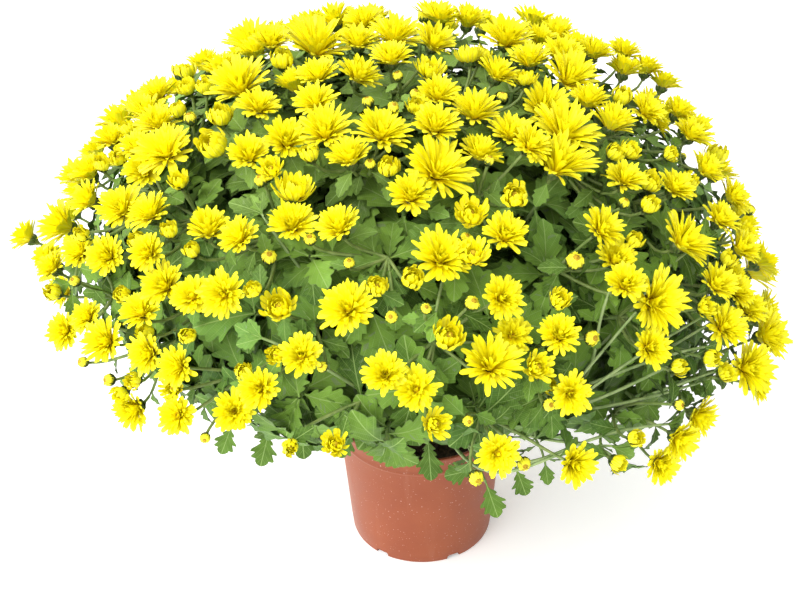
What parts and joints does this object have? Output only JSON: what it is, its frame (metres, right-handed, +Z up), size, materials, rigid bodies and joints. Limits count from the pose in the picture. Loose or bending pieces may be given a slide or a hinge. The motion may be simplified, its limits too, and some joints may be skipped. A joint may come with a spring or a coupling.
{
  "type": "pot chrysanthemum",
  "caption": "Bushy garden chrysanthemum in full yellow bloom, a wide leafy dome of flower sprays standing in a round terracotta-coloured plastic nursery pot.",
  "frame": {"origin": "centre of the pot's flat base, on the surface that the pot stands on", "axes": "+Z up along the pot's axis, -Y towards the front of the plant, +X to the right seen from the front"},
  "size_m": [0.6228, 0.5537, 0.4722],
  "materials": {
    "pot_plastic": "satin moulded plastic, terracotta coloured",
    "growing_medium": "dark crumbly peat with pale grains",
    "leaf": "soft matt leaf with pale veins",
    "petal": "bright satin petal"
  },
  "bodies": {
    "root": {"pot": "pot_plastic", "soil": "growing_medium", "stems_and_leaves": "leaf", "spray_01": "petal", "spray_02": "petal", "spray_03": "petal", "spray_04": "petal", "spray_05": "petal", "spray_06": "petal", "spray_07": "petal", "spray_08": "petal", "spray_09": "petal", "spray_10": "petal", "spray_11": "petal", "spray_12": "petal", "spray_13": "petal", "spray_14": "petal", "spray_15": "petal", "spray_16": "petal", "spray_17": "petal", "spray_18": "petal", "spray_19": "petal", "spray_20": "petal", "spray_21": "petal", "spray_22": "petal", "spray_23": "petal", "spray_24": "petal", "spray_25": "petal", "spray_26": "petal", "spray_27": "petal", "spray_28": "petal", "spray_29": "petal", "spray_30": "petal", "spray_31": "petal", "spray_32": "petal", "spray_33": "petal", "spray_34": "petal", "spray_35": "petal", "spray_36": "petal", "spray_37": "petal", "spray_38": "petal", "spray_39": "petal", "spray_40": "petal", "spray_41": "petal", "spray_42": "petal", "spray_43": "petal", "spray_44": "petal", "spray_45": "petal", "spray_46": "petal", "spray_47": "petal", "spray_48": "petal", "spray_49": "petal", "spray_50": "petal", "spray_51": "petal", "spray_52": "petal", "spray_53": "petal", "spray_54": "petal", "spray_55": "petal", "spray_56": "petal", "spray_57": "petal"}
  },
  "joints": []
}
